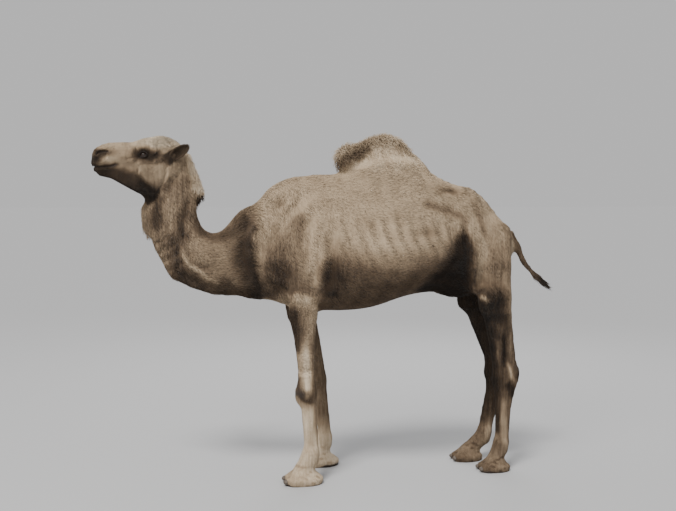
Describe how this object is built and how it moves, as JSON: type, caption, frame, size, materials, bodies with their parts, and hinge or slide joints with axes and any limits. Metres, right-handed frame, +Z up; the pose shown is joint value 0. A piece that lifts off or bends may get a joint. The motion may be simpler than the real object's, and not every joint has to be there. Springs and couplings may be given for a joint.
{
  "type": "dromedary camel",
  "caption": "Life-size standing one-humped camel, head held high and level on an S-shaped neck, short coat with longer wool on hump, nape, throat and tail tip.",
  "frame": {"origin": "on the ground under the middle of the animal's box, the box being that of body, hair and tail", "axes": "+Z up, -X towards the animal's nose, -Y to the animal's left side"},
  "size_m": [2.753, 0.6252, 2.0388],
  "materials": {
    "coat": "short sandy fawn hair lying flat, matte",
    "dark_coat": "short dark brown hair, matte",
    "pale_coat": "very short pale hair, matte",
    "wool": "long soft curly wool, matte",
    "callus": "bare horny skin, finely cracked, dull",
    "horn": "dark worn horn, satin",
    "eye": "wet dark brown eye, glossy"
  },
  "bodies": {
    "root": {"trunk": "coat", "hump": "coat", "hump_wool": "wool", "chest_pad": "callus", "lower_neck": "coat", "upper_neck": "coat", "left_eye": "eye", "right_eye": "eye", "head": "coat", "lower_jaw": "dark_coat", "left_ear": "coat", "right_ear": "coat", "nape_mane": "wool", "throat_fringe": "wool", "tail_dock": "coat", "tail_tuft": "dark_coat", "left_fore_shoulder": "coat", "left_fore_forearm": "coat", "left_fore_shank": "pale_coat", "left_fore_foot": "pale_coat", "left_fore_outer_nail": "horn", "left_fore_inner_nail": "horn", "left_hind_thigh": "coat", "left_hind_gaskin": "coat", "left_hind_shank": "pale_coat", "left_hind_foot": "pale_coat", "left_hind_outer_nail": "horn", "left_hind_inner_nail": "horn", "right_fore_shoulder": "coat", "right_fore_forearm": "coat", "right_fore_shank": "pale_coat", "right_fore_foot": "pale_coat", "right_fore_outer_nail": "horn", "right_fore_inner_nail": "horn", "right_hind_thigh": "coat", "right_hind_gaskin": "coat", "right_hind_shank": "pale_coat", "right_hind_foot": "pale_coat", "right_hind_outer_nail": "horn", "right_hind_inner_nail": "horn"}
  },
  "joints": []
}
